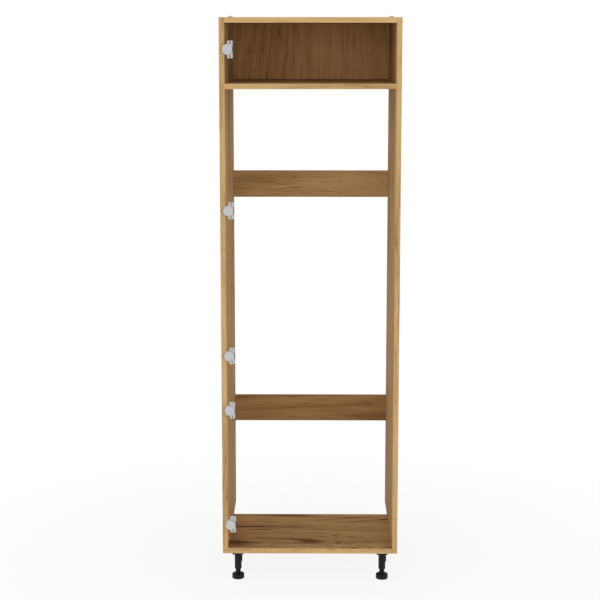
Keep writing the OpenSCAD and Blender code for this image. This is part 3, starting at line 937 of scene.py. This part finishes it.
@dataclass
class Boards:
    """Oak-faced boards, their edging and the joints between them."""

    rear: float = 0.2915
    floor_rear: float = 0.1215
    side_foot: float = 0.123
    top: float = 1.925
    half_width: float = 0.3

    def panels(self) -> dict[str, OakDecor]:
        """Gives the decor of each board.

        Returns:
            The decors by the names of the nodes.
        """
        rear = RawEdge("Y", self.rear, Limit.ABOVE)
        foot = RawEdge("Z", self.side_foot, Limit.BELOW)
        top = RawEdge("Z", self.top, Limit.ABOVE)
        floor = (
            RawEdge("Y", self.floor_rear, Limit.ABOVE),
            RawEdge("X", self.half_width, Limit.ABOVE),
            RawEdge("X", -self.half_width, Limit.BELOW),
        )
        side = dict(grain=Grain.UP_SIDE, tone=(197, 162, 115), raw=(rear, foot, top))
        flat = dict(grain=Grain.ACROSS_FLAT, tone=(177, 142, 97))
        return {
            "side_left": OakDecor("oak_side_left", seed=2.1, **side),
            "side_right": OakDecor("oak_side_right", seed=8.4, **side),
            "top_panel": OakDecor("oak_top", seed=12.7, **flat),
            "fixed_shelf": OakDecor("oak_shelf", seed=17.2, **flat),
            "bottom_panel": OakDecor(
                "oak_floor", Grain.ACROSS_FLAT, (173, 137, 93), 77.3, contrast=1.55,
                rings=0.18, flecks=0.24, knot_cells=(4, 13, 1), raw=floor,
            ),
            "rail_upper": OakDecor(
                "oak_rail_upper", Grain.ACROSS_FRONT, (186, 151, 106), 33.9, rings=0.04
            ),
            # The lower rail has the same oak decor as the upper one; its darker tone is
            # painted shade, as if less light reached it low in the niche.
            "rail_lower": OakDecor(
                "oak_rail_lower", Grain.ACROSS_FRONT, (165, 128, 86), 37.8,
                contrast=1.2, rings=0.13, flecks=0.16,
            ),
            "back_panel": OakDecor(
                "oak_back", Grain.UP_BACK, (206, 160, 109), 41.5, rings=0.03,
                raw=(rear,), chips=2400,
            ),
        }

    def edgings(self) -> dict[str, OakDecor]:
        """Gives the decor of each edging strip.

        Returns:
            The decors by the names of the nodes.
        """
        strips = (
            ("side_left", Grain.UP_BACK, 51.0),
            ("side_right", Grain.UP_BACK, 57.0),
            ("top", Grain.ACROSS_FRONT, 63.0),
            ("shelf", Grain.ACROSS_FRONT, 68.0),
            ("bottom", Grain.ACROSS_FRONT, 73.0),
        )
        return {
            "edging_" + name: OakDecor(
                "edge_" + name, grain, (194, 159, 110), seed, contrast=1.15, rings=0.05,
                flecks=0.1, knot_cells=(6, 38, 1),
            )
            for name, grain, seed in strips
        }

    def dress(self) -> None:
        """Gives every board, edging strip and dowel its finish."""
        for node, decor in {**self.panels(), **self.edgings()}.items():
            paint_node(node, decor.build())
        beech = Beech("beech_raw").build()
        for node in ("dowels_left", "dowels_right", "dowels_bottom"):
            paint_node(node, beech)


@dataclass
class Hardware:
    """Screws, nails and wall brackets."""

    zinc: Metal = Metal("zinc_plated", (178, 181, 184), 0.34)
    bright: Metal = Metal("bright_nail", (150, 151, 153), 0.3)
    brown: Paint = Paint("brown_paint", (186, 160, 128))

    def dress(self) -> None:
        """Gives every fastener and bracket its finish."""
        zinc = self.zinc.build()
        for end in ("left", "right", "bottom"):
            paint_node("carcass_screws_" + end, zinc)
        for node in ("bracket_screws", "socket_screws", "plate_screws", "arm_screws"):
            paint_node(node, zinc)
        paint_node("back_nails", self.bright.build())
        brown = self.brown.build()
        for side in ("left", "right"):
            paint_node("wall_bracket_" + side, brown)


@dataclass
class Hinges:
    """Five concealed hinges: plates, arms, links and pressed cups."""

    count: int = 5
    cup_radius: float = 0.0175
    rim_radius: float = 0.0182
    cup_rounding: float = 0.002
    cup_steps: tuple[float, ...] = (0.0001, 0.0004, 0.0008, 0.0014)
    inner_radius: float = 0.0164
    lip: float = 0.0024
    lip_slope: float = 1.1
    flange_half: float = 0.0282
    corner: float = 0.0025
    flat_limit: float = 0.995
    crease: float = math.radians(32)
    nickel: Metal = Metal("matt_nickel", (206, 207, 208), 0.46)
    link: Metal = Metal("link_steel", (170, 172, 176), 0.34)

    def dress(self) -> None:
        """Dresses every hinge part and builds the cups."""
        nickel = self.nickel.build()
        link = self.link.build()
        for number in range(1, self.count + 1):
            for part in ("plate", "arm"):
                paint_node(f"hinge_{part}_{number}", nickel)
            for part in ("outer_link", "inner_link"):
                paint_node(f"hinge_{part}_{number}", link)
            self.cup(number, nickel)

    def cup(self, number: int, material: Material) -> None:
        """Presses one cup from a copy of its solid.

        Its bottom edge gets a wide rounding, and the free edge of its flange
        is bent back, as on a cup drawn from sheet.

        Args:
            number: Number of the hinge.
            material: Finish of the cup.
        """
        node = f"hinge_cup_{number}"
        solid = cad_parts[node]
        low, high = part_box(node)
        middle = Vector((low.x + self.rim_radius, low.y, (low.z + high.z) / 2))
        shape = bmesh.new()
        shape.from_mesh(solid.data)
        shape.transform(solid.matrix_world)
        bmesh.ops.remove_doubles(shape, verts=shape.verts, dist=WELD)
        self.cut(shape, (high.x - self.lip, 0, 0), (1, 0, 0))
        for step in self.cup_steps:
            self.cut(shape, (0, low.y + step, 0), (0, 1, 0))
        for point in shape.verts:
            self.press(point, middle, (high.z - low.z) / 2, high.x - self.lip)
        for face in shape.faces:
            face.smooth = abs(face.normal.y) < self.flat_limit
        made = new_mesh(node + "_pressed", shape, [material])
        made.set_sharp_from_angle(angle=self.crease)
        piece = new_object(f"cup_{number}", made)
        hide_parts(node)
        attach(piece, f"hinge_{number}_cup")
        LOG.info("built %s with %d faces", piece.name, len(made.polygons))

    def cut(self, shape: bmesh.types.BMesh, place: Place, normal: Place) -> None:
        """Adds the edges along which a plane meets the shape.

        Args:
            shape: The shape.
            place: A point of the plane.
            normal: Direction that the plane faces.
        """
        parts = shape.verts[:] + shape.edges[:] + shape.faces[:]
        bmesh.ops.bisect_plane(
            shape, geom=parts, dist=WELD, plane_co=place, plane_no=normal
        )

    def press(
        self, point: bmesh.types.BMVert, middle: Vector, half: float, bend: float
    ) -> None:
        """Moves one point of the solid to its place on the pressed cup.

        Args:
            point: Point of the shape.
            middle: Middle of the cup's bottom.
            half: Half height of the solid's flange.
            bend: Place of the line along which the flange is bent.
        """
        off = point.co - middle
        radius = math.hypot(off.x, off.z)
        if off.y < self.cup_rounding and radius > self.inner_radius:
            drop = self.cup_rounding - off.y
            wide = self.cup_radius - self.cup_rounding
            wide += math.sqrt(self.cup_rounding**2 - drop**2)
            point.co.x = middle.x + off.x * wide / radius
            point.co.z = middle.z + off.z * wide / radius
        if abs(off.z) > half - self.corner:
            point.co.z -= math.copysign(half - self.flange_half, off.z)
        if point.co.x > bend:
            point.co.y += (point.co.x - bend) * self.lip_slope


@dataclass
class Legs:
    """Black legs: sockets with ribs, tubes, and threaded levelling feet."""

    places: tuple[str, ...] = ("front_left", "front_right", "rear_left", "rear_right")
    disc_height: float = 0.018
    disc_steps: int = 240
    rounding: float = 0.003
    rounding_steps: int = 6
    fillet: float = 0.0012
    chamfer: float = 0.001
    lobes: int = 8
    groove_radius: float = 0.0025
    groove_depth: float = 0.0012
    root_radius: float = 0.0083
    crest_radius: float = 0.0091
    pitch: float = 0.003
    wire: float = 0.0007
    wire_sides: int = 6
    turn_steps: int = 28
    thread_end: float = 0.002
    ribs: int = 9
    rib_step: float = 0.003
    rib_radius: float = 0.0009
    rib_sides: int = 10
    rib_height: float = 0.011
    plastic: Plastic = Plastic("black_plastic", (12, 12, 12))
    material: Optional[Material] = None

    def dress(self) -> None:
        """Dresses sockets and tubes and builds ribs and feet."""
        self.material = self.plastic.build()
        paint_node("leg_sockets", self.material)
        for place in self.places:
            paint_node("leg_tube_" + place, self.material)
        thread = self.thread_tree()
        for place in self.places:
            self.foot(place, thread)
        self.socket_ribs(self.row_tree())

    def row_tree(self) -> GeometryTree:
        """Makes the tree that sets upright round bars in a row.

        Returns:
            The tree.
        """
        tree = GeometryTree(
            "row_of_bars",
            {
                "Count": self.ribs, "Step": self.rib_step,
                "Bar Radius": self.rib_radius, "Bar Height": self.rib_height,
            },
        )
        step = tree.add("ShaderNodeCombineXYZ", {"X": "Step"})
        row = tree.add(
            "GeometryNodeMeshLine", {"Count": "Count", "Offset": step.outputs[0]}
        )
        bar = tree.add(
            "GeometryNodeMeshCylinder",
            {"Vertices": self.rib_sides, "Radius": "Bar Radius", "Depth": "Bar Height"},
        )
        bars = tree.add(
            "GeometryNodeInstanceOnPoints",
            {"Points": row.outputs[0], "Instance": bar.outputs["Mesh"]},
        )
        tree.close(bars.outputs[0], self.material)
        return tree

    def thread_tree(self) -> GeometryTree:
        """Makes the tree that winds a screw thread round a stem.

        Returns:
            The tree.
        """
        tree = GeometryTree(
            "screw_thread",
            {
                "Turns": 1.0, "Radius": self.crest_radius - self.wire,
                "Height": self.pitch, "Thickness": self.wire,
            },
        )
        spiral = tree.add(
            "GeometryNodeCurveSpiral",
            {
                "Resolution": self.turn_steps, "Rotations": "Turns",
                "Start Radius": "Radius", "End Radius": "Radius", "Height": "Height",
            },
        )
        outline = tree.add(
            "GeometryNodeCurvePrimitiveCircle",
            {"Resolution": self.wire_sides, "Radius": "Thickness"},
        )
        wound = tree.add(
            "GeometryNodeCurveToMesh",
            {
                "Curve": spiral.outputs[0], "Profile Curve": outline.outputs[0],
                "Fill Caps": True,
            },
        )
        tree.close(wound.outputs[0], self.material)
        return tree

    def grip_limit(self, angle: float, radius: float) -> float:
        """Gives how far the disc reaches at an angle, between its grooves.

        Args:
            angle: Direction round the axis.
            radius: Radius of the disc on its lobes.

        Returns:
            The radius that the nearest groove leaves.
        """
        step = math.tau / self.lobes
        off = angle % step - step / 2
        reach = radius + self.groove_radius - self.groove_depth
        aside = reach * math.sin(off)
        if abs(aside) >= self.groove_radius:
            return radius
        cut = reach * math.cos(off) - math.sqrt(self.groove_radius**2 - aside**2)
        return min(radius, cut)

    def foot_body(self, name: str, radius: float, top: float) -> Mesh:
        """Turns a disc with grip grooves and a stem on it.

        Args:
            name: Name of the mesh.
            radius: Radius of the disc on its lobes.
            top: Height of the end of the stem.

        Returns:
            The mesh round the origin.
        """
        height, hub = self.disc_height, self.root_radius
        steps = self.rounding_steps
        profile: list[Span] = [(0.0, 0.0)]
        rounded = []
        for angle in (math.pi / 2 * step / steps for step in range(steps + 1)):
            out = self.rounding * (1 - math.sin(angle))
            rise = self.rounding * (1 - math.cos(angle))
            profile.append((radius - out, rise))
            rounded.append((radius - rise, height - out))
        profile += rounded
        profile += [(hub + self.fillet, height), (hub, height + self.fillet)]
        profile += [(hub, top - self.chamfer), (hub - self.chamfer, top), (0.0, top)]
        body = turned(name, profile, self.disc_steps, self.material)
        for point in body.vertices:
            out = math.hypot(point.co.x, point.co.y)
            limit = self.grip_limit(math.atan2(point.co.y, point.co.x), radius)
            if out > limit:
                point.co.x *= limit / out
                point.co.y *= limit / out
        return body

    def foot(self, place: str, thread: GeometryTree) -> None:
        """Builds one levelling foot in place of its solid.

        Args:
            place: Which of the four legs.
            thread: Tree of the screw thread.
        """
        node = "leg_foot_" + place
        low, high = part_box(node)
        middle = Vector(((low.x + high.x) / 2, (low.y + high.y) / 2, 0))
        body = self.foot_body(node + "_body", (high.x - low.x) / 2, high.z)
        body.transform(Matrix.Translation(middle))
        height = high.z - self.disc_height - 2 * self.thread_end
        wound = thread.mesh(
            node + "_thread",
            middle + Vector((0, 0, self.disc_height + self.thread_end)),
            {"Turns": height / self.pitch, "Height": height},
        )
        piece = join_meshes("foot_" + place, [body, wound])
        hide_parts(node)
        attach(piece, "foot_" + place)
        LOG.info("built %s with %d faces", piece.name, len(piece.data.polygons))

    def socket_ribs(self, row: GeometryTree) -> None:
        """Adds fine upright ribs to the four faces of each socket.

        Args:
            row: Tree of one row of ribs.
        """
        low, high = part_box("leg_sockets")
        start = -self.rib_step * (self.ribs - 1) / 2
        parts = []
        for place in self.places:
            foot_low, foot_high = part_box("leg_foot_" + place)
            middle = (foot_low + foot_high) / 2
            half = min(high.x - middle.x, middle.x - low.x)
            stand = Vector((middle.x, middle.y, (low.z + high.z) / 2))
            for side in range(4):
                ribs = row.mesh(
                    f"socket_ribs_{place}_{side}",
                    Vector((start, -half + self.rib_radius / 2, 0)),
                )
                ribs.transform(Matrix.Rotation(side * math.pi / 2, 4, "Z"))
                ribs.transform(Matrix.Translation(stand))
                parts.append(ribs)
        piece = join_meshes("socket_ribs", parts)
        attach(piece, "carcass")
        LOG.info("built %s with %d faces", piece.name, len(piece.data.polygons))


@dataclass(frozen=True)
class Lamp:
    """Soft square lamp: where it hangs, its side and its power in watts."""

    name: str
    place: Place
    size: float
    power: float

    def hang(self, target: Place) -> None:
        """Adds the lamp to the scene.

        Args:
            target: Where the lamp points.
        """
        data = bpy.data.lights.new(self.name, "AREA")
        data.size = self.size
        data.energy = self.power
        lamp = new_object(self.name, data)
        lamp.location = self.place
        aim = Vector(target) - Vector(self.place)
        lamp.rotation_euler = aim.to_track_quat("-Z", "Y").to_euler()
        lamp.visible_glossy = False


@dataclass
class Studio:
    """Pale floor, soft light and the camera in front of the open side."""

    lens: float = 95.59
    sensor: float = 36
    sight: float = 60
    eye: Place = (0.0164, -5.55, 1.868)
    pitch: float = 9.45
    turn: float = 0.551
    floor_radius: float = 14
    floor_sides: int = 96
    floor_fade: Span = (0.4, 1.7)
    floor_white: Span = (0.88, 1)
    white: tuple[float, ...] = (1, 1, 1, 1)
    warm_white: tuple[float, ...] = (1, 0.99, 0.975, 1)
    world_light: Span = (0.95, 0.05)
    target: Place = (0, 0, 0.95)
    lamps: tuple[Lamp, ...] = (
        Lamp("key", (-0.9, -4.6, 2.6), 3.5, 50),
        Lamp("fill", (2.4, -4.2, 1.2), 3.0, 28),
        Lamp("rear", (0.0, 3.6, 3.2), 1.4, 44),
    )

    def set_up(self) -> None:
        """Builds the whole studio."""
        self.camera()
        self.floor()
        self.world()
        for lamp in self.lamps:
            lamp.hang(self.target)
        bpy.context.scene.view_settings.view_transform = "Standard"

    def camera(self) -> None:
        """Sets the camera at the photograph's distance and height."""
        data = bpy.data.cameras.new("camera")
        data.lens = self.lens
        data.sensor_width = self.sensor
        data.clip_end = self.sight
        camera = new_object("camera", data)
        camera.location = self.eye
        tilt = math.radians(90 - self.pitch)
        camera.rotation_euler = (tilt, 0, math.radians(self.turn))
        bpy.context.scene.camera = camera

    def floor(self) -> None:
        """Lays a wide floor that fades into the white background."""
        shape = bmesh.new()
        bmesh.ops.create_circle(
            shape, cap_ends=True, segments=self.floor_sides, radius=self.floor_radius
        )
        sheet = Finish("pale_floor")
        length = sheet.add("ShaderNodeVectorMath", operation="LENGTH")
        sheet.feed(length.inputs[0], sheet.place)
        span = (length.outputs["Value"], *self.floor_fade, *self.floor_white)
        far = sheet.result(
            "ShaderNodeMapRange", *span, interpolation_type="SMOOTHSTEP"
        )
        glow = sheet.result("ShaderNodeEmission", self.white)
        rays = sheet.add("ShaderNodeLightPath").outputs
        seen = sheet.math("MAXIMUM", rays["Is Camera Ray"], rays["Is Glossy Ray"])
        share = sheet.math("MULTIPLY", far, seen)
        lit = sheet.shader.outputs[0]
        mixed = sheet.result("ShaderNodeMixShader", share, lit, glow)
        sheet.feed(sheet.output.inputs["Surface"], mixed)
        pale = sheet.finish(base_color=(0.93, 0.93, 0.92, 1), roughness=0.9)
        new_object("floor", new_mesh("floor", shape, [pale]))

    def world(self) -> None:
        """Lights the room, brighter from the front than from behind, and shows it white
        behind the object.
        """
        world = bpy.data.worlds.new("studio")
        bpy.context.scene.world = world
        world.use_nodes = True
        sheet = Sheet(world.node_tree)
        output = sheet.add("ShaderNodeOutputWorld")
        parts = sheet.add("ShaderNodeSeparateXYZ")
        where = sheet.add("ShaderNodeTexCoord")
        sheet.feed(parts.inputs[0], where.outputs["Generated"])
        fall = sheet.range(parts.outputs["Y"], -1, 1, *self.world_light)
        light = sheet.result("ShaderNodeBackground", self.warm_white, fall)
        white = sheet.result("ShaderNodeBackground", self.white, 1)
        rays = sheet.add("ShaderNodeLightPath").outputs
        seen = rays["Is Camera Ray"]
        for kind in ("Is Glossy Ray", "Is Transmission Ray"):
            seen = sheet.math("MAXIMUM", seen, rays[kind])
        mixed = sheet.result("ShaderNodeMixShader", seen, light, white)
        sheet.feed(output.inputs["Surface"], mixed)


def main() -> None:
    """Dresses the unit, part by part, and sets up the studio."""
    Boards().dress()
    Hardware().dress()
    Hinges().dress()
    Legs().dress()
    Studio().set_up()


if __name__ == "__main__":
    main()
